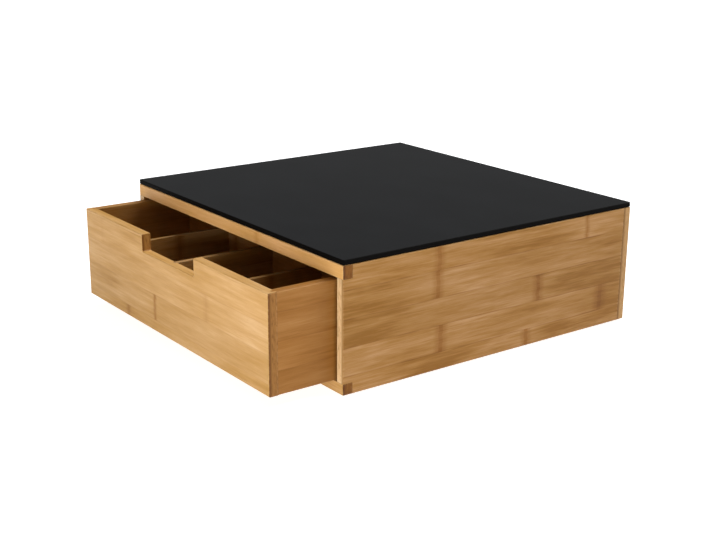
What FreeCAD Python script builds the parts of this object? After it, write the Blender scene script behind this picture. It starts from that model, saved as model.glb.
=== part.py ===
import FreeCAD, Part
import os
import re
import Sketcher

# A tabletop tea bag box: a bamboo carcass with a black glass plate on top and one drawer,
# which half-lapped dividers part into a grid of compartments.
# Row frame in millimetres: +X to the right of someone facing the drawer, +Y away from them, +Z up.
# The origin is on the table, under the middle of the whole footprint, drawer included.
# The drawer stands part open by drawer_open, which is the rest position of its slide.

SIZES = (
    # alias, millimetres, what it is
    ("body_width", 330.0, "carcass and glass plate, side to side"),
    ("body_depth", 314.0, "carcass and glass plate, front to back"),
    ("body_height", 104.5, "carcass boards, without feet and glass"),
    ("side_thickness", 8.0, "left and right side panels"),
    ("back_thickness", 8.0, "back panel"),
    ("rail_depth", 9.0, "both front rails, front to back"),
    ("top_rail_height", 11.0, "front rail above the drawer"),
    ("bottom_rail_height", 9.5, "front rail below the drawer"),
    ("top_board_thickness", 8.0, "board under the glass"),
    ("bottom_board_thickness", 6.0, "board that the drawer runs on"),
    ("board_seat", 4.0, "those two boards into the side and back panels"),
    ("glass_thickness", 4.0, "glass plate"),
    ("glass_corner", 1.5, "radius of the glass plate's corners"),
    ("glass_bevel", 0.4, "ground edges of the glass plate"),
    ("glass_pad_thickness", 0.4, "clear adhesive pad under the glass"),
    ("glass_pad_radius", 9.0, "clear adhesive pad under the glass"),
    ("glass_pad_inset", 30.0, "pad centre to the plate's edges"),
    ("foot_drop", 1.5, "how far the feet stand out below the carcass"),
    ("foot_radius", 6.5, "rubber foot where it is stuck on"),
    ("foot_sole_radius", 5.5, "rubber foot where it stands"),
    ("foot_inset", 24.0, "foot centre to the carcass's outer faces"),
    ("drawer_open", 60.0, "drawer front ahead of the carcass at rest"),
    ("drawer_side_gap", 2.5, "drawer to side panel, each side"),
    ("drawer_lift", 0.3, "drawer above the board that it runs on"),
    ("drawer_head_gap", 2.2, "drawer below the top rail"),
    ("drawer_rear_gap", 0.5, "closed drawer to back panel"),
    ("wall_thickness", 8.0, "drawer front, back and sides"),
    ("tongue_thickness", 3.0, "tongue at each end of a drawer side"),
    ("tongue_length", 3.0, "tongue into the drawer front and back"),
    ("floor_height", 4.0, "drawer wall's lower edge to the drawer bottom"),
    ("floor_thickness", 3.0, "drawer bottom"),
    ("floor_seat", 3.0, "drawer bottom into the drawer walls"),
    ("notch_width", 88.0, "finger notch in the drawer front"),
    ("notch_depth", 15.0, "finger notch, down from the top edge"),
    ("notch_corner", 1.5, "radius of the notch's bottom corners"),
    ("divider_thickness", 4.0, "all dividers"),
    ("divider_height", 59.5, "all dividers, from the drawer bottom"),
    ("divider_seat", 2.0, "divider ends into the drawer walls"),
    ("divider_fit", 0.1, "clearance beside a divider, each side"),
    ("edge_round", 0.8, "outer edges of the boards"),
    ("edge_ease", 0.4, "inner edges of the boards"),
)

# Lengths and places that follow from the sizes, as expressions in their names.
DERIVED = {
    "inner_width": "body_width - 2 * side_thickness",
    "side_length": "body_depth - back_thickness",
    "rail_underside": "body_height - top_rail_height",
    "top_board_underside": "body_height - top_board_thickness",
    "bottom_board_underside": "bottom_rail_height - bottom_board_thickness",
    "board_width": "inner_width + 2 * board_seat",
    "board_length": "side_length - rail_depth + board_seat",
    "foot_height": "foot_drop + bottom_board_underside",
    "drawer_width": "inner_width - 2 * drawer_side_gap",
    "drawer_length": "side_length - drawer_rear_gap",
    "drawer_height": "rail_underside - bottom_rail_height - drawer_lift - drawer_head_gap",
    "tongue_inset": "(wall_thickness - tongue_thickness) / 2",
    "floor_inset": "wall_thickness - floor_seat",
    "floor_top": "floor_height + floor_thickness",
    "divider_top": "floor_top + divider_height",
    "grid_width": "drawer_width - 2 * wall_thickness",
    "grid_length": "drawer_length - 2 * wall_thickness",
    "groove_width": "divider_thickness + 2 * divider_fit",
    "lap_height": "divider_height / 2",
    # where the carcass and the drawer stand in the row frame
    "body_left": "-body_width / 2",
    "body_front": "(drawer_open - body_depth) / 2",
    "body_top": "foot_drop + body_height",
    "drawer_left": "-drawer_width / 2",
    "drawer_front": "body_front - drawer_open",
    "drawer_base": "foot_drop + bottom_rail_height + drawer_lift",
}

LONG_DIVIDERS = ("left", "middle", "right")
CROSS_DIVIDERS = ("front", "rear")

SAME_PLACE = 1e-4
PLANE_NORMAL_SIGN = {"XY_Plane": 1, "XZ_Plane": -1, "YZ_Plane": 1}

doc = FreeCAD.newDocument("TeaBagBox")
sheet = doc.addObject("Spreadsheet::Sheet", "Sizes")
for row, (alias, millimetres, meaning) in enumerate(SIZES, start=1):
    sheet.set(f"A{row}", meaning)
    sheet.set(f"B{row}", str(millimetres))
    sheet.setAlias(f"B{row}", alias)
doc.recompute()


# ---- expressions ----


def sized(text):
    """The expression with its derived names written out and its sheet names addressed."""

    def address(match):
        name = match.group(0)
        if name in DERIVED:
            return "(" + sized(DERIVED[name]) + ")"
        return "Sizes." + name

    return re.sub(r"[a-z_]+", address, str(text))


def bind(thing, property_name, text):
    thing.setExpression(property_name, sized(text))


def number(text):
    return float(sheet.evalExpression(sized(text)))


def place(thing, x, y, z):
    for axis, text in zip("xyz", (x, y, z)):
        bind(thing, "Placement.Base." + axis, text)


# ---- how a board is made: a sketch, a pad, pockets and rounded edges ----


def new_board(label, x, y, z):
    """An empty body whose own origin stands at that place of the row frame."""
    body = doc.addObject("PartDesign::Body", label)
    body.Label = label
    place(body, x, y, z)
    return body


def sketch_on(body, name, plane_role, offset=0):
    """A sketch on the body's own plane, moved along that plane's row axis by offset."""
    sketch = body.newObject("Sketcher::SketchObject", name)
    plane = next(p for p in body.Origin.OriginFeatures if p.Role == plane_role)
    sketch.AttachmentSupport = [(plane, "")]
    sketch.MapMode = "FlatFace"
    bind(sketch, "AttachmentOffset.Base.z", f"{PLANE_NORMAL_SIGN[plane_role]} * ({offset})")
    return sketch


def draw_outline(sketch, corners):
    """A closed outline, each corner held to its two expressions."""
    first = sketch.GeometryCount
    points = [FreeCAD.Vector(number(x), number(y), 0) for x, y in corners]
    following = list(range(1, len(points))) + [0]
    for start, end in enumerate(following):
        sketch.addGeometry(Part.LineSegment(points[start], points[end]))
    for start, end in enumerate(following):
        sketch.addConstraint(Sketcher.Constraint("Coincident", first + start, 2, first + end, 1))
    for line, corner in enumerate(corners):
        for kind, text in zip(("DistanceX", "DistanceY"), corner):
            held = Sketcher.Constraint(kind, -1, 1, first + line, 1, number(text))
            index = sketch.addConstraint(held)
            bind(sketch, f"Constraints[{index}]", text)


def draw_rectangle(sketch, left, low, right, high):
    draw_outline(sketch, ((left, low), (right, low), (right, high), (left, high)))


def pad(body, sketch, thickness):
    """Thickens the sketch towards its row axis's positive side."""
    feature = body.newObject("PartDesign::Pad", sketch.Name + "Pad")
    feature.Profile = sketch
    bind(feature, "Length", thickness)
    role = sketch.AttachmentSupport[0][0].Role
    feature.Reversed = PLANE_NORMAL_SIGN[role] < 0
    doc.recompute()


def pocket(body, sketch, depth, toward):
    """Cuts the sketch into the body, toward +1 or -1 along the sketch plane's row axis."""
    before = body.Shape.Volume
    feature = body.newObject("PartDesign::Pocket", sketch.Name + "Pocket")
    feature.Profile = sketch
    bind(feature, "Length", depth)
    role = sketch.AttachmentSupport[0][0].Role
    feature.Reversed = toward == PLANE_NORMAL_SIGN[role]
    doc.recompute()
    if body.Shape.Volume > before - SAME_PLACE:
        raise RuntimeError(f"{feature.Name} cuts nothing out of {body.Label}")


def lies_at(edge, **planes):
    """Whether all of a straight edge lies at those coordinates of the body's own frame."""
    return all(
        abs(getattr(vertex.Point, axis) - number(text)) < SAME_PLACE
        for axis, text in planes.items()
        for vertex in edge.Vertexes
    )


def round_edges(body, radius, *places):
    """Rounds the edges that lie at any of those places, each a dict of coordinates."""
    base = body.Tip
    chosen = [
        f"Edge{index}"
        for index, edge in enumerate(base.Shape.Edges, start=1)
        if any(lies_at(edge, **planes) for planes in places)
    ]
    if not chosen:
        raise RuntimeError(f"{body.Label} has no edge at {places}")
    feature = body.newObject("PartDesign::Fillet", f"{body.Label}_round")
    feature.Base = (base, chosen)
    bind(feature, "Radius", radius)
    doc.recompute()


def group_of(label, members):
    """Identical small pieces, kept as separate solids of one node."""
    group = doc.addObject("Part::Compound", label)
    group.Label = label
    group.Links = members
    return group


# ---- carcass ----


def side_panel(label, left_edge, inner_face, outer_face):
    """A side panel, notched at its front corners for the rails, seated for the two boards."""
    body = new_board(label, left_edge, "body_front", "foot_drop")
    outline = sketch_on(body, label + "_outline", "YZ_Plane")
    draw_outline(
        outline,
        (
            ("rail_depth", "0"),
            ("side_length", "0"),
            ("side_length", "body_height"),
            ("rail_depth", "body_height"),
            ("rail_depth", "rail_underside"),
            ("0", "rail_underside"),
            ("0", "bottom_rail_height"),
            ("rail_depth", "bottom_rail_height"),
        ),
    )
    pad(body, outline, "side_thickness")
    outward = 1 if inner_face == "0" else -1
    seats = (("top", "top_board_underside", "body_height"),
             ("bottom", "bottom_board_underside", "bottom_rail_height"))
    for name, low, high in seats:
        seat = sketch_on(body, f"{label}_{name}_seat", "YZ_Plane", inner_face)
        draw_rectangle(seat, "rail_depth", low, "side_length", high)
        pocket(body, seat, "board_seat", outward)
    round_edges(
        body,
        "edge_round",
        {"x": outer_face, "y": "0"},
        {"x": outer_face, "z": "0"},
        {"x": outer_face, "z": "body_height"},
    )
    round_edges(body, "edge_ease", {"x": inner_face, "y": "0"})
    return body


def front_rail(label, height, base, table_edge, opening_edge):
    """A full-width rail whose end grain shows on both sides of the carcass."""
    body = new_board(label, "body_left", "body_front", base)
    outline = sketch_on(body, label + "_outline", "YZ_Plane")
    draw_rectangle(outline, "0", "0", "rail_depth", height)
    pad(body, outline, "body_width")
    round_edges(
        body,
        "edge_round",
        {"x": "0", "y": "0"},
        {"x": "body_width", "y": "0"},
        {"y": "0", "z": table_edge},
        {"x": "0", "z": table_edge},
        {"x": "body_width", "z": table_edge},
    )
    round_edges(body, "edge_ease", {"y": "0", "z": opening_edge})
    return body


def back_panel():
    """The back panel, which covers the ends of both side panels."""
    label = "back_panel"
    body = new_board(label, "body_left", "body_front + side_length", "foot_drop")
    outline = sketch_on(body, label + "_outline", "XZ_Plane")
    draw_rectangle(outline, "0", "0", "body_width", "body_height")
    pad(body, outline, "back_thickness")
    seat_left = "side_thickness - board_seat"
    seat_right = "body_width - side_thickness + board_seat"
    seats = (("top", "top_board_underside", "body_height"),
             ("bottom", "bottom_board_underside", "bottom_rail_height"))
    for name, low, high in seats:
        seat = sketch_on(body, f"{label}_{name}_seat", "XZ_Plane", "0")
        draw_rectangle(seat, seat_left, low, seat_right, high)
        pocket(body, seat, "board_seat", 1)
    round_edges(
        body,
        "edge_round",
        {"x": "0", "y": "back_thickness"},
        {"x": "body_width", "y": "back_thickness"},
        {"y": "back_thickness", "z": "0"},
        {"y": "back_thickness", "z": "body_height"},
        {"x": "0", "z": "0"},
        {"x": "body_width", "z": "0"},
        {"x": "0", "z": "body_height"},
        {"x": "body_width", "z": "body_height"},
    )
    return body


def seated_board(label, base, thickness):
    """A board behind a front rail, seated in the side panels and the back panel."""
    body = new_board(label, "-board_width / 2", "body_front + rail_depth", base)
    outline = sketch_on(body, label + "_outline", "XY_Plane")
    draw_rectangle(outline, "0", "0", "board_width", "board_length")
    pad(body, outline, thickness)
    return body


def glass_top_plate():
    label = "glass_top_plate"
    body = new_board(label, "body_left", "body_front", "body_top + glass_pad_thickness")
    outline = sketch_on(body, label + "_outline", "XY_Plane")
    draw_rectangle(outline, "0", "0", "body_width", "body_depth")
    pad(body, outline, "glass_thickness")
    round_edges(
        body,
        "glass_corner",
        {"x": "0", "y": "0"},
        {"x": "body_width", "y": "0"},
        {"x": "0", "y": "body_depth"},
        {"x": "body_width", "y": "body_depth"},
    )
    base = body.Tip
    rims = [
        f"Edge{index}"
        for index, edge in enumerate(base.Shape.Edges, start=1)
        if lies_at(edge, z="0") or lies_at(edge, z="glass_thickness")
    ]
    bevel = body.newObject("PartDesign::Chamfer", label + "_bevel")
    bevel.Base = (base, rims)
    bind(bevel, "Size", "glass_bevel")
    return body


def corner_places(inset):
    """Four places inset from the carcass's outer faces, as (x, y) expressions."""
    sides = (f"body_left + {inset}", f"-body_left - {inset}")
    ends = (f"body_front + {inset}", f"body_front + body_depth - {inset}")
    return [(x, y) for x in sides for y in ends]


def glass_pads():
    """Clear adhesive pads that hold the glass plate: one by each corner and one in the middle."""
    middle = ("0", "body_front + body_depth / 2")
    pads = []
    for x, y in [*corner_places("glass_pad_inset"), middle]:
        disc = doc.addObject("Part::Cylinder", "glass_pad")
        bind(disc, "Radius", "glass_pad_radius")
        bind(disc, "Height", "glass_pad_thickness")
        place(disc, x, y, "body_top")
        pads.append(disc)
    return group_of("glass_pads", pads)


def rubber_feet():
    """Four stick-on feet under the bottom board, near its corners."""
    feet = []
    for x, y in corner_places("foot_inset"):
        foot = doc.addObject("Part::Cone", "rubber_foot")
        bind(foot, "Radius1", "foot_sole_radius")
        bind(foot, "Radius2", "foot_radius")
        bind(foot, "Height", "foot_height")
        place(foot, x, y, "0")
        feet.append(foot)
    return group_of("rubber_feet", feet)


# ---- drawer ----


def column_start(index):
    """The left face of the long divider with that index, from the left wall's inner face."""
    columns = len(LONG_DIVIDERS) + 1
    width = f"(grid_width - {len(LONG_DIVIDERS)} * divider_thickness) / {columns}"
    return f"{index + 1} * ({width}) + {index} * divider_thickness"


def row_start(index):
    """The front face of the cross divider with that index, from the drawer front's inner face."""
    rows = len(CROSS_DIVIDERS) + 1
    depth = f"(grid_length - {len(CROSS_DIVIDERS)} * divider_thickness) / {rows}"
    return f"{index + 1} * ({depth}) + {index} * divider_thickness"


def cut_divider_grooves(body, plane_role, inner_face, toward, starts):
    """Stopped grooves in a drawer wall, one for the end of each divider that meets it."""
    for index, start in enumerate(starts):
        groove = sketch_on(body, f"{body.Label}_groove_{index}", plane_role, inner_face)
        low_side = f"{start} - divider_fit"
        draw_rectangle(
            groove,
            low_side,
            "floor_top",
            f"{low_side} + groove_width",
            "divider_top + divider_fit",
        )
        pocket(body, groove, "divider_seat", toward)


def end_wall(label, front_face, inner_face, outer_face, inward):
    """The drawer front or back: grooved for the sides' tongues, the bottom and the dividers."""
    body = new_board(label, "drawer_left", front_face, "drawer_base")
    outline = sketch_on(body, label + "_outline", "XZ_Plane")
    draw_rectangle(outline, "0", "0", "drawer_width", "drawer_height")
    pad(body, outline, "wall_thickness")
    into_wall = -inward
    left_groove = "tongue_inset"
    right_groove = "drawer_width - tongue_inset - tongue_thickness"
    for name, start in (("left", left_groove), ("right", right_groove)):
        groove = sketch_on(body, f"{label}_{name}_groove", "XZ_Plane", inner_face)
        draw_rectangle(groove, start, "0", f"{start} + tongue_thickness", "drawer_height")
        pocket(body, groove, "tongue_length", into_wall)
    floor_groove = sketch_on(body, label + "_floor_groove", "XZ_Plane", inner_face)
    draw_rectangle(
        floor_groove, "floor_inset", "floor_height", "drawer_width - floor_inset", "floor_top"
    )
    pocket(body, floor_groove, "floor_seat", into_wall)
    starts = [f"wall_thickness + {column_start(i)}" for i in range(len(LONG_DIVIDERS))]
    cut_divider_grooves(body, "XZ_Plane", inner_face, into_wall, starts)
    return body


def drawer_front():
    """The drawer front, with a notch for the fingers in its top edge."""
    body = end_wall("drawer_front", "drawer_front", "wall_thickness", "0", 1)
    notch = sketch_on(body, "drawer_front_notch", "XZ_Plane")
    notch_left = "(drawer_width - notch_width) / 2"
    notch_right = "(drawer_width + notch_width) / 2"
    notch_floor = "drawer_height - notch_depth"
    draw_rectangle(notch, notch_left, notch_floor, notch_right, "drawer_height")
    pocket(body, notch, "wall_thickness", 1)
    round_edges(
        body,
        "notch_corner",
        {"x": notch_left, "z": notch_floor},
        {"x": notch_right, "z": notch_floor},
    )
    round_edges(
        body,
        "edge_round",
        {"x": "0", "y": "0"},
        {"x": "drawer_width", "y": "0"},
        {"y": "0", "z": "0"},
        {"y": "0", "z": "drawer_height"},
        {"x": notch_left, "y": "0"},
        {"y": "0", "z": notch_floor},
    )
    return body


def drawer_back():
    body = end_wall(
        "drawer_back", "drawer_front + drawer_length - wall_thickness", "0", "wall_thickness", -1
    )
    round_edges(
        body,
        "edge_round",
        {"x": "0", "y": "wall_thickness"},
        {"x": "drawer_width", "y": "wall_thickness"},
        {"y": "wall_thickness", "z": "0"},
        {"y": "wall_thickness", "z": "drawer_height"},
    )
    return body


def drawer_side(label, left_edge, inner_face, outer_face):
    """A drawer side between front and back, with a tongue into each."""
    body = new_board(label, left_edge, "drawer_front + wall_thickness", "drawer_base")
    outline = sketch_on(body, label + "_outline", "XY_Plane")
    far = "tongue_inset + tongue_thickness"
    draw_outline(
        outline,
        (
            ("0", "0"),
            ("tongue_inset", "0"),
            ("tongue_inset", "-tongue_length"),
            (far, "-tongue_length"),
            (far, "0"),
            ("wall_thickness", "0"),
            ("wall_thickness", "grid_length"),
            (far, "grid_length"),
            (far, "grid_length + tongue_length"),
            ("tongue_inset", "grid_length + tongue_length"),
            ("tongue_inset", "grid_length"),
            ("0", "grid_length"),
        ),
    )
    pad(body, outline, "drawer_height")
    outward = 1 if inner_face == "0" else -1
    floor_groove = sketch_on(body, label + "_floor_groove", "YZ_Plane", inner_face)
    draw_rectangle(
        floor_groove, "-tongue_length", "floor_height", "grid_length + tongue_length", "floor_top"
    )
    pocket(body, floor_groove, "floor_seat", outward)
    starts = [row_start(i) for i in range(len(CROSS_DIVIDERS))]
    cut_divider_grooves(body, "YZ_Plane", inner_face, outward, starts)
    round_edges(
        body,
        "edge_round",
        {"x": outer_face, "z": "0"},
        {"x": outer_face, "z": "drawer_height"},
    )
    round_edges(body, "edge_ease", {"x": inner_face, "z": "drawer_height"})
    return body


def drawer_bottom():
    label = "drawer_bottom"
    body = new_board(
        label, "drawer_left + floor_inset", "drawer_front + floor_inset", "drawer_base + floor_height"
    )
    outline = sketch_on(body, label + "_outline", "XY_Plane")
    draw_rectangle(
        outline, "0", "0", "drawer_width - 2 * floor_inset", "drawer_length - 2 * floor_inset"
    )
    pad(body, outline, "floor_thickness")
    return body


def lapped_profile(span, starts, slots_open_up):
    """A divider's outline from end to end, half-lapped where it crosses the other dividers."""
    low, high = "0", "divider_height"
    ends = ("-divider_seat", f"{span} + divider_seat")
    if slots_open_up:
        slot_floor, near, far = "lap_height - divider_fit", high, low
    else:
        slot_floor, near, far = "lap_height + divider_fit", low, high
    corners = [(ends[0], far), (ends[0], near)]
    for start in starts:
        left = f"{start} - divider_fit"
        right = f"{left} + groove_width"
        corners += [(left, near), (left, slot_floor), (right, slot_floor), (right, near)]
    return [*corners, (ends[1], near), (ends[1], far)]


def long_divider(name, index):
    """A divider from the drawer front to the back, slotted from its top edge."""
    label = "long_divider_" + name
    body = new_board(
        label,
        f"drawer_left + wall_thickness + {column_start(index)}",
        "drawer_front + wall_thickness",
        "drawer_base + floor_top",
    )
    outline = sketch_on(body, label + "_outline", "YZ_Plane")
    starts = [row_start(i) for i in range(len(CROSS_DIVIDERS))]
    draw_outline(outline, lapped_profile("grid_length", starts, True))
    pad(body, outline, "divider_thickness")
    round_edges(
        body,
        "edge_ease",
        {"x": "0", "z": "divider_height"},
        {"x": "divider_thickness", "z": "divider_height"},
    )
    return body


def cross_divider(name, index):
    """A divider from side to side, slotted from its lower edge."""
    label = "cross_divider_" + name
    body = new_board(
        label,
        "drawer_left + wall_thickness",
        f"drawer_front + wall_thickness + {row_start(index)}",
        "drawer_base + floor_top",
    )
    outline = sketch_on(body, label + "_outline", "XZ_Plane")
    starts = [column_start(i) for i in range(len(LONG_DIVIDERS))]
    draw_outline(outline, lapped_profile("grid_width", starts, False))
    pad(body, outline, "divider_thickness")
    round_edges(
        body,
        "edge_ease",
        {"y": "0", "z": "divider_height"},
        {"y": "divider_thickness", "z": "divider_height"},
    )
    return body


# ---- the whole object ----

carcass = [
    side_panel("left_side_panel", "body_left", "side_thickness", "0"),
    side_panel("right_side_panel", "-body_left - side_thickness", "0", "side_thickness"),
    back_panel(),
    front_rail(
        "top_front_rail", "top_rail_height", "foot_drop + rail_underside", "top_rail_height", "0"
    ),
    front_rail(
        "bottom_front_rail", "bottom_rail_height", "foot_drop", "0", "bottom_rail_height"
    ),
    seated_board("top_board", "foot_drop + top_board_underside", "top_board_thickness"),
    seated_board("bottom_board", "foot_drop + bottom_board_underside", "bottom_board_thickness"),
    glass_pads(),
    glass_top_plate(),
    rubber_feet(),
]
drawer = [
    drawer_front(),
    drawer_back(),
    drawer_side("drawer_left_side", "drawer_left", "wall_thickness", "0"),
    drawer_side("drawer_right_side", "-drawer_left - wall_thickness", "0", "wall_thickness"),
    drawer_bottom(),
    *[long_divider(name, index) for index, name in enumerate(LONG_DIVIDERS)],
    *[cross_divider(name, index) for index, name in enumerate(CROSS_DIVIDERS)],
]
doc.recompute()

failed = [thing.Name for thing in doc.Objects if {"Invalid", "Error"} & set(thing.State)]
if failed:
    raise RuntimeError(f"these objects failed to build: {failed}")

os.makedirs("parts", exist_ok=True)
for piece in carcass + drawer:
    if piece.Shape.isNull() or not piece.Shape.isValid() or not piece.Shape.Solids:
        raise RuntimeError(f"{piece.Label} has no valid solid")
    piece.Shape.exportStep(f"parts/{piece.Label}.step")
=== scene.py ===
import math

import bpy
from mathutils import Matrix, Vector


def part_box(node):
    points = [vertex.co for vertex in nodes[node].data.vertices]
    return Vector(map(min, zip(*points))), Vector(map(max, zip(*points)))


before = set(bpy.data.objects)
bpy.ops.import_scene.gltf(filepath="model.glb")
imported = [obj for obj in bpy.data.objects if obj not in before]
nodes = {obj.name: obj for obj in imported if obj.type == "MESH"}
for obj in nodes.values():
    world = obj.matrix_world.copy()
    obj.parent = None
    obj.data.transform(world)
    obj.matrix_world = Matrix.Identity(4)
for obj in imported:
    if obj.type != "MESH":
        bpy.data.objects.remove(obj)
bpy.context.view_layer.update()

# Lengths in the materials are millimetres in the row frame; everything else is in metres.
MM_PER_M = 1000.0
X, Y, Z = 0, 1, 2


# ---- building a material's nodes ----

# A Mix node has sockets of the same names for each type of data. These are the ones for colours.
MIX_BELOW, MIX_ABOVE, MIX_RESULT = 6, 7, 2
# Where most of a noise's values lie.
NOISE_SPAN = (0.3, 0.7)


class Value:
    """What a node gives at each point of a surface. Arithmetic on it adds the nodes that do it."""

    def __init__(self, shader, socket):
        self.shader = shader
        self.socket = socket

    def __add__(self, other):
        return self.shader.math("ADD", self, other)

    def __sub__(self, other):
        return self.shader.math("SUBTRACT", self, other)

    def __rsub__(self, other):
        return self.shader.math("SUBTRACT", other, self)

    def __mul__(self, other):
        return self.shader.math("MULTIPLY", self, other)

    def __truediv__(self, other):
        return self.shader.math("DIVIDE", self, other)

    def __abs__(self):
        return self.shader.math("ABSOLUTE", self)

    def floor(self):
        return self.shader.math("FLOOR", self)

    def fraction(self):
        return self.shader.math("FRACT", self)

    def at_least(self, other):
        return self.shader.math("MAXIMUM", self, other)

    def at_most(self, other):
        return self.shader.math("MINIMUM", self, other)

    def equals(self, whole):
        """1 where it is that whole number, and 0 where it is another."""
        half = 0.5
        return self.shader.math("COMPARE", self, float(whole), half)


class Shader:
    """One material, with short calls that build its node tree."""

    def __init__(self, name):
        self.material = bpy.data.materials.new(name)
        self.material.use_nodes = True
        self.tree = self.material.node_tree
        self.tree.nodes.clear()
        self.surface = self.node("BsdfPrincipled")
        output = self.node("OutputMaterial")
        self.tree.links.new(self.surface.outputs["BSDF"], output.inputs["Surface"])
        self.coordinates = self.node("TexCoord")
        in_mm = self.node("VectorMath", Value(self, self.coordinates.outputs["Object"]), operation="SCALE")
        self.put(in_mm.inputs["Scale"], MM_PER_M)
        self.place = self.split(in_mm.outputs[0])

    def put(self, socket, value):
        """Links a value to the socket, or sets it to a number or to a colour's red, green and blue."""
        if isinstance(value, Value):
            self.tree.links.new(value.socket, socket)
        elif isinstance(value, tuple):
            socket.default_value = (*value, 1.0)
        else:
            socket.default_value = value

    def node(self, kind, *values, **settings):
        """A new node with those settings, and with those values in its first sockets."""
        node = self.tree.nodes.new("ShaderNode" + kind)
        for setting, choice in settings.items():
            setattr(node, setting, choice)
        for socket, value in zip(node.inputs, values):
            self.put(socket, value)
        return node

    def math(self, operation, *values):
        return Value(self, self.node("Math", *values, operation=operation).outputs[0])

    def vector(self, x, y, z):
        return Value(self, self.node("CombineXYZ", x, y, z).outputs[0])

    def split(self, socket):
        """The x, y and z of what that socket gives."""
        return [Value(self, part) for part in self.node("SeparateXYZ", Value(self, socket)).outputs]

    def grey(self, value):
        return Value(self, self.node("CombineColor", value, value, value).outputs[0])

    def noise(self, vector, detail=2.0, roughness=0.5):
        """Smooth noise about 0.5, one unit from one swell to the next."""
        node = self.node("TexNoise", vector)
        self.put(node.inputs["Scale"], 1.0)
        self.put(node.inputs["Detail"], detail)
        self.put(node.inputs["Roughness"], roughness)
        return Value(self, node.outputs["Fac"])

    def mottle(self, size, detail=2.0, roughness=0.5):
        """Noise with spots of that size in mm, along x, y and z."""
        place = [distance / mm for distance, mm in zip(self.place, size)]
        return self.noise(self.vector(*place), detail, roughness)

    def random(self, x, y, z):
        """Three numbers from 0 to 1 that depend only on the whole numbers x, y and z."""
        node = self.node("TexWhiteNoise", self.vector(x, y, z), noise_dimensions="3D")
        return self.split(node.outputs["Color"])

    def fade(self, value, low, high, to_low=0.0, to_high=1.0, smooth=True):
        """value from low..high to to_low..to_high, held at both ends."""
        kind = "SMOOTHSTEP" if smooth else "LINEAR"
        node = self.node("MapRange", value, low, high, to_low, to_high, interpolation_type=kind, clamp=True)
        return Value(self, node.outputs[0])

    def ramp(self, value, *stops):
        """A colour from stops of (value, colour)."""
        node = self.node("ValToRGB", value)
        elements = node.color_ramp.elements
        while len(elements) < len(stops):
            elements.new(0.5)
        for element, (position, colour) in zip(elements, stops):
            element.position = position
            element.color = (*colour, 1.0)
        return Value(self, node.outputs[0])

    def blend(self, mode, below, above, amount=1.0):
        node = self.node("Mix", data_type="RGBA", blend_type=mode)
        self.put(node.inputs["Factor"], amount)
        self.put(node.inputs[MIX_BELOW], below)
        self.put(node.inputs[MIX_ABOVE], above)
        return Value(self, node.outputs[MIX_RESULT])

    def look(self, inputs):
        """Sets the surface's inputs, by Blender's names for them."""
        for name, value in inputs.items():
            self.put(self.surface.inputs[name], value)

    def mottled(self, noise, colours, roughness, colour_span=NOISE_SPAN):
        """Colour and roughness, each from its first to its second value as the noise rises."""
        self.look({
            "Base Color": self.ramp(noise, *zip(colour_span, colours)),
            "Roughness": self.fade(noise, *NOISE_SPAN, *roughness),
        })

    def bump(self, height, depth_mm, strength):
        node = self.node("Bump")
        self.put(node.inputs["Strength"], strength)
        self.put(node.inputs["Distance"], depth_mm / MM_PER_M)
        self.put(node.inputs["Height"], height)
        self.look({"Normal": Value(self, node.outputs[0])})


def paint(name, material):
    """The material takes the place of all the slots of that CAD node."""
    mesh = nodes[name].data
    mesh.materials.clear()
    mesh.materials.append(material)
    for polygon in mesh.polygons:
        polygon.material_index = 0


# ---- pressed bamboo: its colours ----

# The wood from pale to dark.
PALE = (0.66, 0.425, 0.235)
STRAW = (0.565, 0.337, 0.145)
HONEY = (0.47, 0.258, 0.075)
AMBER = (0.36, 0.175, 0.028)
END_PALE = (0.78, 0.510, 0.255)
END_DARK = (0.36, 0.185, 0.060)

# What is laid over it.
KNUCKLE = (0.62, 0.445, 0.120)
FLECK = (0.66, 0.500, 0.340)
GLUE = (0.62, 0.480, 0.340)
JOINT = (0.34, 0.200, 0.100)
# Screened over the edges: partly rubbed wear and partly a painted edge highlight.
RUBBED_AND_HIGHLIGHT = (0.26, 0.18, 0.09)

# What a board's face or end grain is multiplied by. Each was set board by board until the board matched in
# this scene's light, so besides the wood's own tone it holds painted light and shade: the rails painted
# lighter, the side panels painted darker and warmer, and the drawer's sides and dividers painted darkest,
# as painted shade inside the drawer.
PLAIN = (1.0, 1.0, 1.0)
FRONT_TONE_AND_LIGHT = (0.965, 0.935, 0.810)
RAIL_TONE_AND_LIGHT = (1.450, 1.430, 1.480)
PANEL_TONE_AND_SHADE = (0.690, 0.598, 0.460)
BACK_TONE_AND_SHADE = (0.762, 0.667, 0.534)
BOARD_TONE_AND_SHADE = (0.830, 0.762, 0.667)
DRAWER_SIDE_TONE_AND_SHADE = (0.620, 0.465, 0.265)
DIVIDER_TONE_AND_SHADE = (0.590, 0.550, 0.500)
END_PLAIN = (0.620, 0.620, 0.620)
PANEL_END = (0.940, 0.960, 0.980)
BACK_END = (0.600, 0.530, 0.420)
RAIL_END = (0.270, 0.151, 0.034)
DRAWER_END = (0.380, 0.260, 0.120)


# ---- pressed bamboo: its make-up ----
# FADES is where something starts to fade and where it is gone. GROWS is where it starts to show and
# where it is whole.

SLAT_MM = 23.0
LAYER_MM = 4.0
KNUCKLE_SPACING_MM = 196.0
# Keeps a board's low face clear of the border between two layers, where rounding would spot it.
OFF_THE_FACE_MM = 1e-4

# Streaks of four sizes: length and breadth in mm, and how finely each breaks up.
CLOUDS = (80.0, 12.0, 3.0)
BROAD_STREAKS = (44.0, 2.8, 3.0)
FIBRES = (20.0, 0.8, 2.0)
HAIRS = (7.5, 0.27, 1.0)
STREAK_ROUGHNESS = 0.55
# The most that chance shifts a slat's streaks along it, in lengths of a streak.
STREAK_SHIFT = 61.0

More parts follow.
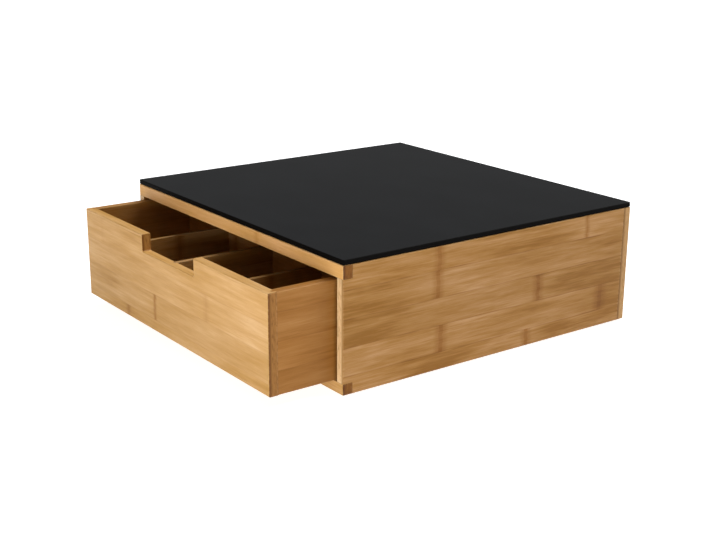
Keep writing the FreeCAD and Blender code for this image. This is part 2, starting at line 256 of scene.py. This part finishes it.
# How much the streaks and chance add to the tint, which tint is the palette's middle, and how far
# from it the palette ends at a contrast of 1.
CLOUD_SHARE, BROAD_SHARE, FIBRE_SHARE, CHANCE_SHARE = 0.90, 0.55, 0.40, 0.16
TINT_MIDDLE, TINT_REACH = 1.01, 0.39
HONEY_AT, STRAW_AT = 0.35, 0.70
SLAT_DARKEST, SLAT_PALEST = 0.96, 1.04
FLECK_GROWS = (0.58, 0.78)
FLECK_STRENGTH = 0.35

# A paler or darker patch fades between these shares of its reach. Its border is ragged by as much
# as the broad streaks vary, times this.
PATCH_FADES = (0.2, 1.3)
PATCH_RAGGED = 1.4

# A knuckle is a smear about a darker core. Its line wanders by so much over each such width.
CORE_FADES_MM, CORE_STRENGTH = (1.2, 3.2), 0.85
SMEAR_FADES_MM, SMEAR_STRENGTH = (2.2, 7.5), 0.50
WANDER_MM, WANDER_WIDTH_MM = 4.0, 4.0
# How strong it is in the darkest and in the palest of the broad streaks that it crosses.
KNUCKLE_WEAKEST, KNUCKLE_STRONGEST = 0.7, 1.1
# Knuckles by chance: how strong they are, and over how many spacings chance moves them.
CHANCE_STRENGTH, CHANCE_SPACINGS = 0.8, 7.0
# Every other slat counts as this much farther from a mark, so that the mark doesn't show there.
ELSEWHERE_MM = 99.0

# Glue between slats comes and goes over such a length of seam, as a noise grows. Between layers it
# shows on a board's edges only.
SEAM_PATCH_MM = 38.0
SEAM_GROWS = (0.40, 0.68)
SEAM_FAINTEST, SEAM_STRONGEST = 0.12, 0.80
SEAM_FADES_MM = (0.15, 0.80)
LAYER_GLUE_FADES_MM, LAYER_GLUE_STRENGTH = (0.05, 0.22), 0.40

# End grain: dots that are bundles of fibre, which shift a little with the depth of the cut and fade
# at these shares of their spacing, and darker wood near the skin and in blotches.
DOT_MM, DOT_FADES, DOT_STRENGTH = 0.62, (0.18, 0.42), 0.22
DOT_SHIFT_PER_MM = 0.01
SKIN_FADES_MM = (0.6, 3.4)
BLOTCH_WIDTH_MM, BLOTCH_DEPTH_MM = 5.0, 1.6
BLOTCH_GROWS, BLOTCH_STRENGTH = (0.35, 0.9), 0.8

# Right at an edge of its box, which only a sharp edge reaches, a board has a hairline, as where two are
# glued together. Beside it, and on a rounded edge, the wood is a little paler: partly rubbed wear and
# partly a painted edge highlight.
HAIRLINE_FADES_MM, HAIRLINE_STRENGTH = (0.10, 0.24), 0.7
RUBBED_AND_HIGHLIGHT_FADES_MM, RUBBED_AND_HIGHLIGHT_STRENGTH = (0.25, 1.4), 0.30
RUBBED_AND_HIGHLIGHT_GROWS = (0.35, 0.65)

# How large a share of its normal makes a face count as facing along an axis.
FACING_GROWS = (0.45, 0.75)

# The oiled surface: how rough it is between fibres and on them, and how much rougher on the ends.
SATIN_ROUGHNESS = (0.42, 0.55)
END_ROUGHER = 0.10
OIL = {"IOR": 1.26, "Coat Weight": 0.03, "Coat Roughness": 0.30}
# How much of the relief each thing is. Flecks, glue and dots lie low.
FIBRE_RELIEF, FLECK_RELIEF, GLUE_RELIEF, KNUCKLE_RELIEF, DOT_RELIEF = 0.5, 0.3, 0.9, 0.35, 0.5
RELIEF_MM, RELIEF_STRENGTH = 0.06, 0.6


class Board(Shader):
    """The bamboo of one board. Its fibres run along axis grain. Its slats lie side by side along
    axis width, pitch apart, and seam is how far one of the seams is from the board's low edge."""

    def __init__(self, name, grain, width, seed, seam, pitch):
        super().__init__("bamboo_" + name)
        self.grain = grain
        self.thick = ({X, Y, Z} - {grain, width}).pop()
        self.low, self.high = (corner * MM_PER_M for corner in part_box(name))
        self.along = self.place[grain]
        self.across = self.place[width]
        self.through = self.place[self.thick]
        self.normal = self.split(self.coordinates.outputs["Normal"])
        self.seed = seed
        self.pitch = pitch

        # counted in slats from the seam, and in layers from the low face
        self.slats = (self.across - (self.low[width] + seam)) / pitch
        self.layers = (self.through - (self.low[self.thick] + OFF_THE_FACE_MM)) / LAYER_MM
        self.slat = self.slats.floor()
        # three numbers by chance for each slat of each layer
        self.one, self.two, self.three = self.random(self.slat, self.layers.floor(), seed)
        self.shift = self.one * STREAK_SHIFT

        self.broad = self.streaks(BROAD_STREAKS)
        self.fibre = self.streaks(FIBRES)
        self.flecks = self.fade(self.streaks(HAIRS), *FLECK_GROWS)
        self.facing_end = self.facing(grain)
        self.dots = self.fibre_bundles()

    def streaks(self, size):
        """Noise drawn out along the fibres, and shifted for each slat and layer."""
        length, breadth, detail = size
        place = self.vector(
            self.along / length + self.shift,
            self.across / breadth + self.seed,
            self.through / breadth + self.two,
        )
        return self.noise(place, detail, STREAK_ROUGHNESS)

    def facing(self, axis):
        """1 on faces that face along the axis, and 0 on others."""
        return self.fade(abs(self.normal[axis]), *FACING_GROWS)

    def off_line(self, turns, spacing):
        """How far the point is from the nearest whole number of turns, spacing being one turn."""
        return (0.5 - abs(turns.fraction() - 0.5)) * spacing

    def off_mark(self, place, slat, along):
        """How far place is from a mark on that slat, so far from the board's low end."""
        elsewhere = 1.0 - self.slat.equals(slat)
        return abs(place - (self.low[self.grain] + along)) + elsewhere * ELSEWHERE_MM

    def patch(self, slat, along, reach, paler):
        """How much paler that slat is, about a place so far from the board's low end."""
        off = abs(self.along - (self.low[self.grain] + along)) / reach
        off = off + (self.broad - 0.5) * PATCH_RAGGED
        return self.fade(off, *PATCH_FADES, paler, 0.0) * self.slat.equals(slat)

    def streaked(self, patches, contrast):
        """The bare wood, coloured by its streaks, its patches and each slat's own tone."""
        tint = self.streaks(CLOUDS) * CLOUD_SHARE + self.broad * BROAD_SHARE
        tint = tint + self.fibre * FIBRE_SHARE + self.two * CHANCE_SHARE
        for patch in patches:
            tint = tint + self.patch(*patch)
        reach = TINT_REACH / contrast
        grade = self.fade(tint, TINT_MIDDLE - reach, TINT_MIDDLE + reach, smooth=False)
        colour = self.ramp(grade, (0.0, AMBER), (HONEY_AT, HONEY), (STRAW_AT, STRAW), (1.0, PALE))
        slat_tone = self.fade(self.one, 0.0, 1.0, SLAT_DARKEST, SLAT_PALEST, smooth=False)
        return self.blend("MULTIPLY", colour, self.grey(slat_tone))

    def knuckles(self, marks):
        """How strongly knuckles show, at the marks or, where there are none, by chance."""
        ragged = self.noise(self.vector(self.across / WANDER_WIDTH_MM, self.shift, 0.0))
        place = self.along + (ragged - 0.5) * WANDER_MM
        if marks is None:
            turns = place / KNUCKLE_SPACING_MM + self.three * CHANCE_SPACINGS
            found = [(self.off_line(turns, KNUCKLE_SPACING_MM), CHANCE_STRENGTH, 1.0)]
        else:
            found = [
                (self.off_mark(place, slat, along), strength, breadth)
                for slat, along, strength, breadth in marks
            ]
        shown = 0.0
        for off, strength, breadth in found:
            core_from, core_to = (reach * breadth for reach in CORE_FADES_MM)
            smear_from, smear_to = (reach * breadth for reach in SMEAR_FADES_MM)
            core = self.fade(off, core_from, core_to, CORE_STRENGTH * strength, 0.0)
            smear = self.fade(off, smear_from, smear_to, SMEAR_STRENGTH * strength, 0.0)
            shown = smear.at_least(core).at_least(shown)
        return shown * self.fade(self.broad, *NOISE_SPAN, KNUCKLE_WEAKEST, KNUCKLE_STRONGEST)

    def glue_lines(self, seams):
        """How strongly glue shows. seams is how strongly it does between slats."""
        patchy = self.noise(self.vector(self.along / SEAM_PATCH_MM, self.slat, self.seed), 1.0)
        strength = self.fade(patchy, *SEAM_GROWS, SEAM_FAINTEST * seams, SEAM_STRONGEST * seams)
        off_seam = self.fade(self.off_line(self.slats, self.pitch), *SEAM_FADES_MM)
        between_slats = (strength - off_seam * strength).at_least(0.0)
        off_layer = self.off_line(self.layers, LAYER_MM)
        between_layers = self.fade(off_layer, *LAYER_GLUE_FADES_MM, LAYER_GLUE_STRENGTH, 0.0)
        on_edges = 1.0 - self.facing(self.thick)
        return between_slats.at_least(between_layers * on_edges)

    def fibre_bundles(self):
        """The dots of end grain."""
        place = self.vector(
            self.across / DOT_MM, self.through / DOT_MM, self.along * DOT_SHIFT_PER_MM
        )
        cells = self.node("TexVoronoi", place)
        self.put(cells.inputs["Scale"], 1.0)
        return self.fade(Value(self, cells.outputs["Distance"]), *DOT_FADES, 1.0, 0.0)

    def end_grain(self, tone_and_light, skin_high):
        """The colour of the ends, which darken towards the low face or, with skin_high, the high one."""
        if skin_high:
            depth = self.high[self.thick] - self.through
        else:
            depth = self.through - self.low[self.thick]
        skin = self.fade(depth, *SKIN_FADES_MM, 1.0, 0.0)
        place = self.vector(self.across / BLOTCH_WIDTH_MM, self.through / BLOTCH_DEPTH_MM, self.two)
        blotches = self.fade(self.noise(place), *BLOTCH_GROWS, 0.0, BLOTCH_STRENGTH)
        colour = self.blend("MIX", END_PALE, END_DARK, skin.at_least(blotches))
        colour = self.blend("MULTIPLY", colour, FLECK, self.dots * DOT_STRENGTH)
        # The end's multiplier: the wood's own tone together with painted light and shade.
        return self.blend("MULTIPLY", colour, tone_and_light)

    def off_edge(self):
        """How far the point is from the nearest edge of the board's box, measured as the middle one
        of its distances from the box's faces along x, y and z."""
        off = [
            (place - low).at_most(high - place)
            for place, low, high in zip(self.place, self.low, self.high)
        ]
        nearer = off[X].at_most(off[Y])
        farther = off[X].at_least(off[Y])
        return nearer.at_least(farther.at_most(off[Z]))

    def edged(self, colour):
        """That colour with the hairline along the board's edges and the paler band beside it, which is
        partly rubbed wear and partly a painted highlight.
        """
        off_edge = self.off_edge()
        hairline = self.fade(off_edge, *HAIRLINE_FADES_MM, HAIRLINE_STRENGTH, 0.0)
        colour = self.blend("MULTIPLY", colour, JOINT, hairline)
        # Paler near the edges: partly rubbed wear and partly a painted edge highlight.
        rubbed_and_highlight = self.fade(off_edge, *RUBBED_AND_HIGHLIGHT_FADES_MM, RUBBED_AND_HIGHLIGHT_STRENGTH, 0.0)
        return self.blend("SCREEN", colour, RUBBED_AND_HIGHLIGHT, rubbed_and_highlight * self.fade(self.broad, *RUBBED_AND_HIGHLIGHT_GROWS))

    def relief(self, glue, knuckle):
        """How high the wood stands, where 1 is the full relief."""
        height = self.fibre * FIBRE_RELIEF - self.flecks * FLECK_RELIEF - glue * GLUE_RELIEF
        return height + knuckle * KNUCKLE_RELIEF - self.dots * self.facing_end * DOT_RELIEF


def bamboo(
    name, grain, width, seed, seam, pitch=SLAT_MM, marks=None, patches=(), tone_and_light=PLAIN,
    contrast=1.0, seams=1.0, end_tone_and_light=END_PLAIN, skin_high=False
):
    """The material of a board. marks are its knuckles, as (slat from the seam, mm from the low end,
    strength, breadth); without them each slat gets some by chance. patches are where a slat turns
    paler, or darker where negative, as (slat, mm from the low end, reach, how much). contrast and
    seams are how strongly its streaks and its glue lines show."""
    board = Board(name, grain, width, seed, seam, pitch)
    knuckle = board.knuckles(marks)
    glue = board.glue_lines(seams)

    colour = board.streaked(patches, contrast)
    colour = board.blend("MULTIPLY", colour, FLECK, board.flecks * FLECK_STRENGTH)
    colour = board.blend("MULTIPLY", colour, KNUCKLE, knuckle.at_most(1.0))
    colour = board.blend("MULTIPLY", colour, GLUE, glue)
    # The board's multiplier: its own tone together with painted light and shade.
    colour = board.blend("MULTIPLY", colour, tone_and_light)
    colour = board.blend("MIX", colour, board.end_grain(end_tone_and_light, skin_high), board.facing_end)

    satin = board.fade(board.fibre, *NOISE_SPAN, *SATIN_ROUGHNESS)
    board.look(OIL)
    board.look({"Base Color": board.edged(colour), "Roughness": satin + board.facing_end * END_ROUGHER})
    board.bump(board.relief(glue, knuckle), RELIEF_MM, RELIEF_STRENGTH)
    return board.material


# ---- pressed bamboo: the boards ----

PANEL_SLAT_MM = 23.2
# A rail is one slat: this is broader than the rail is high, and its seams are put past its edges.
RAIL_SLAT_MM = 60.0

SIDE_MARKS = (
    (3, 260.0, 0.80, 0.60),
    (3, 94.0, 0.85, 1.10),
    (2, 93.0, 0.90, 1.10),
    (1, 204.0, 1.00, 1.15),
    (0, 97.0, 0.95, 1.20),
    (0, 281.0, 0.85, 1.40),
    (-1, 192.0, 0.95, 1.10),
)
SIDE_PATCHES = (
    (3, 52.0, 40.0, -0.03), (3, 192.0, 60.0, -0.05), (3, 277.0, 45.0, 0.06),
    (2, 17.0, 45.0, -0.05), (2, 127.0, 80.0, 0.09), (2, 277.0, 50.0, 0.05),
    (1, 27.0, 50.0, -0.12), (1, 132.0, 70.0, 0.10), (1, 272.0, 55.0, -0.05),
    (0, 137.0, 60.0, 0.08), (0, 237.0, 40.0, 0.07), (0, 299.0, 28.0, -0.11),
    (-1, 82.0, 45.0, -0.11), (-1, 217.0, 38.0, -0.10), (-1, 292.0, 40.0, -0.09),
)
FRONT_MARKS = (
    (2, 32.5, 0.15, 0.80),
    (1, 217.4, 0.28, 0.90),
    (0, 129.2, 1.00, 0.60),
    (-1, 78.5, 0.80, 0.90),
)
FRONT_PATCHES = (
    (2, 76.5, 45.0, -0.10), (2, 254.5, 60.0, 0.06),
    (1, 59.5, 55.0, -0.08), (1, 164.5, 50.0, 0.05), (1, 269.5, 45.0, 0.04),
    (0, 32.5, 30.0, -0.14), (0, 94.5, 40.0, -0.04), (0, 254.5, 60.0, 0.05),
    (-1, 64.5, 45.0, -0.11),
)

# node, axis of its grain, axis across its slats, mm from its low edge to a seam, what else it has
BOARDS = (
    ("right_side_panel", Y, Z, 15.0, dict(
        pitch=PANEL_SLAT_MM, marks=SIDE_MARKS, patches=SIDE_PATCHES, tone_and_light=PANEL_TONE_AND_SHADE,
        contrast=1.50, end_tone_and_light=PANEL_END, skin_high=True)),
    ("left_side_panel", Y, Z, 6.0, dict(
        pitch=PANEL_SLAT_MM, tone_and_light=PANEL_TONE_AND_SHADE, contrast=1.45, end_tone_and_light=PANEL_END)),
    ("back_panel", X, Z, 10.5, dict(tone_and_light=BACK_TONE_AND_SHADE, contrast=1.3, end_tone_and_light=BACK_END)),
    ("top_front_rail", X, Z, -35.0, dict(
        pitch=RAIL_SLAT_MM, marks=((0, 208.0, 0.5, 0.8),), tone_and_light=RAIL_TONE_AND_LIGHT, contrast=0.6,
        end_tone_and_light=RAIL_END)),
    ("bottom_front_rail", X, Z, -31.5, dict(
        pitch=RAIL_SLAT_MM, marks=((0, 69.0, 0.5, 0.8),), end_tone_and_light=RAIL_END)),
    ("top_board", X, Y, 123.0, dict(tone_and_light=BOARD_TONE_AND_SHADE)),
    ("bottom_board", X, Y, 127.0, dict(tone_and_light=BOARD_TONE_AND_SHADE)),
    ("drawer_front", X, Z, 10.2, dict(
        marks=FRONT_MARKS, patches=FRONT_PATCHES, tone_and_light=FRONT_TONE_AND_LIGHT, contrast=0.9, seams=0.30,
        end_tone_and_light=DRAWER_END)),
    ("drawer_back", X, Z, 6.7, dict(end_tone_and_light=DRAWER_END)),
    ("drawer_left_side", Y, Z, 13.7, dict(tone_and_light=PANEL_TONE_AND_SHADE, seams=0.6)),
    ("drawer_right_side", Y, Z, 19.7, dict(
        marks=((0, 86.0, 0.5, 1.0),), tone_and_light=DRAWER_SIDE_TONE_AND_SHADE, seams=0.6)),
    ("drawer_bottom", X, Y, 184.0, dict(tone_and_light=BOARD_TONE_AND_SHADE)),
    # The dividers' multiplier is mostly painted shade, which darkens the inside of the drawer.
    ("long_divider_left", Y, Z, 14.7, dict(tone_and_light=DIVIDER_TONE_AND_SHADE)),
    ("long_divider_middle", Y, Z, 22.7, dict(tone_and_light=DIVIDER_TONE_AND_SHADE)),
    ("long_divider_right", Y, Z, 18.7, dict(tone_and_light=DIVIDER_TONE_AND_SHADE)),
    ("cross_divider_front", X, Z, 10.7, dict(tone_and_light=DIVIDER_TONE_AND_SHADE)),
    ("cross_divider_rear", X, Z, 16.7, dict(tone_and_light=DIVIDER_TONE_AND_SHADE)),
)
FIRST_SEED, SEED_STEP = 3.0, 5.0

for number, (name, grain, width, seam, extras) in enumerate(BOARDS):
    paint(name, bamboo(name, grain, width, FIRST_SEED + SEED_STEP * number, seam, **extras))


# ---- glass, pads and feet ----

# A face of the plate whose normal has less than this share along z belongs to the ground rim.
FLAT_FACE = 0.95


def black_glass():
    """Glossy black plate glass, with the faint haze and ripple that wiping leaves."""
    clean, hazed = (0.0045, 0.0047, 0.0052), (0.0065, 0.0068, 0.0076)
    haze_mm = (55.0, 38.0, 40.0)
    ripple_x_mm, ripple_y_mm = 90.0, 70.0
    shader = Shader("black_glass")
    haze = shader.mottle(haze_mm, detail=4.0, roughness=0.6)
    shader.mottled(haze, (clean, hazed), roughness=(0.105, 0.135))
    shader.look({"IOR": 1.5})
    x, y, _ = shader.place
    ripple = shader.noise(shader.vector(x / ripple_x_mm, y / ripple_y_mm, 0.0), detail=1.0)
    shader.bump(ripple, depth_mm=0.02, strength=0.15)
    return shader.material


def ground_edge():
    """The plate's ground rim, where the black backing shows through without gloss."""
    dark, light = (0.002, 0.0018, 0.0016), (0.005, 0.0042, 0.0036)
    grit_mm = (0.4, 0.4, 0.4)
    shader = Shader("black_glass_edge")
    grit = shader.mottle(grit_mm)
    shader.mottled(grit, (dark, light), roughness=(0.50, 0.62))
    shader.look({"IOR": 1.12, "Specular IOR Level": 0.25})
    shader.bump(grit, depth_mm=0.02, strength=0.3)
    return shader.material


def clear_adhesive():
    """Thin clear pads, clouded by small bubbles."""
    clear, clouded = (0.70, 0.71, 0.72), (0.84, 0.85, 0.86)
    bubbles_mm = (1.6, 1.6, 1.0)
    shader = Shader("clear_adhesive")
    bubbles = shader.mottle(bubbles_mm, detail=3.0)
    shader.mottled(bubbles, (clear, clouded), roughness=(0.12, 0.30), colour_span=(0.35, 0.65))
    shader.bump(bubbles, depth_mm=0.05, strength=0.4)
    return shader.material


def foot_rubber():
    """Matt black rubber with a fine grain."""
    dark, light = (0.016, 0.016, 0.016), (0.034, 0.033, 0.032)
    grain_mm = (0.5, 0.5, 0.5)
    shader = Shader("foot_rubber")
    grain = shader.mottle(grain_mm, detail=3.0)
    shader.mottled(grain, (dark, light), roughness=(0.62, 0.82))
    shader.bump(grain, depth_mm=0.08, strength=0.5)
    return shader.material


def paint_glass():
    """The plate's faces are glossy, and its rim is ground."""
    paint("glass_top_plate", black_glass())
    plate = nodes["glass_top_plate"].data
    plate.materials.append(ground_edge())
    for polygon in plate.polygons:
        polygon.material_index = int(abs(polygon.normal.z) < FLAT_FACE)


paint_glass()
paint("glass_pads", clear_adhesive())
paint("rubber_feet", foot_rubber())


# ---- floor, light and camera ----

WHITE = (1.0, 1.0, 1.0)
# The floor and the wall round it: their mottle's darkest and palest colour, and its size.
STAGE_DARKEST, STAGE_PALEST = (0.44, 0.44, 0.44), (0.47, 0.47, 0.47)
STAGE_MOTTLE_MM = (240.0, 240.0, 240.0)
FLOOR_HALF, FLOOR_GLOW = 14.0, 0.90
WALL_RADIUS, WALL_BASE, WALL_TOP, WALL_SIDES, WALL_GLOW = 13.0, -0.5, 12.0, 48, 1.0

# The key is a sun, seen from the object in this direction. How far away its lamp is doesn't matter.
KEY_TOWARD, KEY_STRENGTH, KEY_SPREAD_DEGREES = (0.10, 0.58, 0.81), 4.15, 44.0
SUN_LAMP_AWAY = 3.0

# The soft box in front, which is turned to this point of the drawer's front.
FILL_PLACE, FILL_WIDTH, FILL_HEIGHT, FILL_POWER = (0.33, -0.72, 0.09), 0.45, 0.15, 2.22
FILL_AIM_X, FILL_AIM_Z = 0.02, 0.07

# The room's colour low down and high up, and how high each is, from 0 level to 1 straight up.
ROOM_LOW, ROOM_LOW_AT = (0.090, 0.091, 0.092), 0.30
ROOM_HIGH, ROOM_HIGH_AT = (0.30, 0.30, 0.305), 0.95

# The camera, as fitted to the photograph's corners and edges. It looks along +y, turned to the
# left by the first angle, then down by the second and rolled by the third.
CAMERA_PLACE = (0.8899, -0.6501, 0.3767)
CAMERA_DEGREES = (53.48, 17.02, 0.35)
FOCAL_PX, PHOTO_WIDTH_PX = 1255.0, 716.0
SENSOR_WIDTH_MM = 36.0
CLIP_NEAR, CLIP_FAR = 0.01, 60.0


def pale(name, glow):
    """Matt white, with a faint mottle and a glow of its own."""
    shader = Shader(name)
    mottle = shader.mottle(STAGE_MOTTLE_MM)
    shader.look({
        "Base Color": shader.ramp(mottle, *zip(NOISE_SPAN, (STAGE_DARKEST, STAGE_PALEST))),
        "Roughness": 0.9,
        "Specular IOR Level": 0.2,
        "Emission Color": WHITE,
        "Emission Strength": glow,
    })
    return shader.material


def add(name, data):
    """A new object in the scene."""
    item = bpy.data.objects.new(name, data)
    bpy.context.scene.collection.objects.link(item)
    return item


def set_on_stage(name, corners, faces, material):
    """A mesh of the surroundings, which isn't part of the object."""
    mesh = bpy.data.meshes.new(name)
    mesh.from_pydata(corners, [], faces)
    mesh.materials.append(material)
    piece = add(name, mesh)
    return piece


def pale_floor():
    """A wide square that glows a little."""
    half = FLOOR_HALF
    corners = [(-half, -half, 0), (half, -half, 0), (half, half, 0), (-half, half, 0)]
    set_on_stage("floor", corners, [(0, 1, 2, 3)], pale("pale_floor", FLOOR_GLOW))


def backdrop():
    """A white wall all round, which the camera sees but which neither lights nor mirrors in the part."""
    corners = []
    for level in (WALL_BASE, WALL_TOP):
        for side in range(WALL_SIDES):
            angle = 2.0 * math.pi * side / WALL_SIDES
            corners.append((WALL_RADIUS * math.cos(angle), WALL_RADIUS * math.sin(angle), level))
    faces = []
    for side in range(WALL_SIDES):
        following = (side + 1) % WALL_SIDES
        faces.append((side, following, following + WALL_SIDES, side + WALL_SIDES))
    wall = set_on_stage("backdrop", corners, faces, pale("pale_wall", WALL_GLOW))
    wall.visible_diffuse = False
    wall.visible_glossy = False
    wall.visible_transmission = False
    wall.visible_shadow = False


def turned_from(direction):
    """The turn that makes a lamp shine from that direction."""
    return direction.to_track_quat("Z", "Y").to_euler()


def key_light():
    """Soft light from behind and above, a little to the right."""
    lamp = bpy.data.lights.new("key", "SUN")
    lamp.energy = KEY_STRENGTH
    lamp.angle = math.radians(KEY_SPREAD_DEGREES)
    light = add("key", lamp)
    toward = Vector(KEY_TOWARD)
    light.location = toward.normalized() * SUN_LAMP_AWAY
    light.rotation_euler = turned_from(toward)


def front_light():
    """A low soft box, which shows neither to the camera nor in reflections."""
    lamp = bpy.data.lights.new("front_fill", "AREA")
    lamp.shape = "RECTANGLE"
    lamp.size = FILL_WIDTH
    lamp.size_y = FILL_HEIGHT
    lamp.energy = FILL_POWER
    light = add("front_fill", lamp)
    drawer_front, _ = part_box("drawer_front")
    aim = Vector((FILL_AIM_X, drawer_front.y, FILL_AIM_Z))
    light.location = FILL_PLACE
    light.rotation_euler = turned_from(Vector(FILL_PLACE) - aim)
    light.visible_camera = False
    light.visible_glossy = False


def dim_room():
    """The light of the room all round, dim below and paler above."""
    world = bpy.data.worlds.new("studio")
    bpy.context.scene.world = world
    world.use_nodes = True
    tree = world.node_tree
    coordinates = tree.nodes.new("ShaderNodeTexCoord")
    split = tree.nodes.new("ShaderNodeSeparateXYZ")
    ramp = tree.nodes.new("ShaderNodeValToRGB")
    tree.links.new(coordinates.outputs["Generated"], split.inputs[0])
    tree.links.new(split.outputs[Z], ramp.inputs[0])
    low, high = ramp.color_ramp.elements
    low.position = ROOM_LOW_AT
    low.color = (*ROOM_LOW, 1.0)
    high.position = ROOM_HIGH_AT
    high.color = (*ROOM_HIGH, 1.0)
    tree.links.new(ramp.outputs[0], tree.nodes["Background"].inputs["Color"])
    tree.nodes["Background"].inputs["Strength"].default_value = 1.0


def camera():
    """Looks from where the photograph was taken."""
    turn, tilt, roll = (math.radians(angle) for angle in CAMERA_DEGREES)
    ahead = Vector((-math.sin(turn) * math.cos(tilt), math.cos(turn) * math.cos(tilt), -math.sin(tilt)))
    level = Vector((math.cos(turn), math.sin(turn), 0.0))
    upright = level.cross(ahead)
    right = level * math.cos(roll) + upright * math.sin(roll)
    up = upright * math.cos(roll) - level * math.sin(roll)
    data = bpy.data.cameras.new("camera")
    data.sensor_width = SENSOR_WIDTH_MM
    data.lens = SENSOR_WIDTH_MM * FOCAL_PX / PHOTO_WIDTH_PX
    data.clip_start = CLIP_NEAR
    data.clip_end = CLIP_FAR
    eye = add("camera", data)
    turned = Matrix((right, up, -ahead)).transposed().to_4x4()
    eye.matrix_world = Matrix.Translation(CAMERA_PLACE) @ turned
    bpy.context.scene.camera = eye


pale_floor()
backdrop()
key_light()
front_light()
dim_room()
camera()
bpy.context.scene.view_settings.view_transform = "Standard"
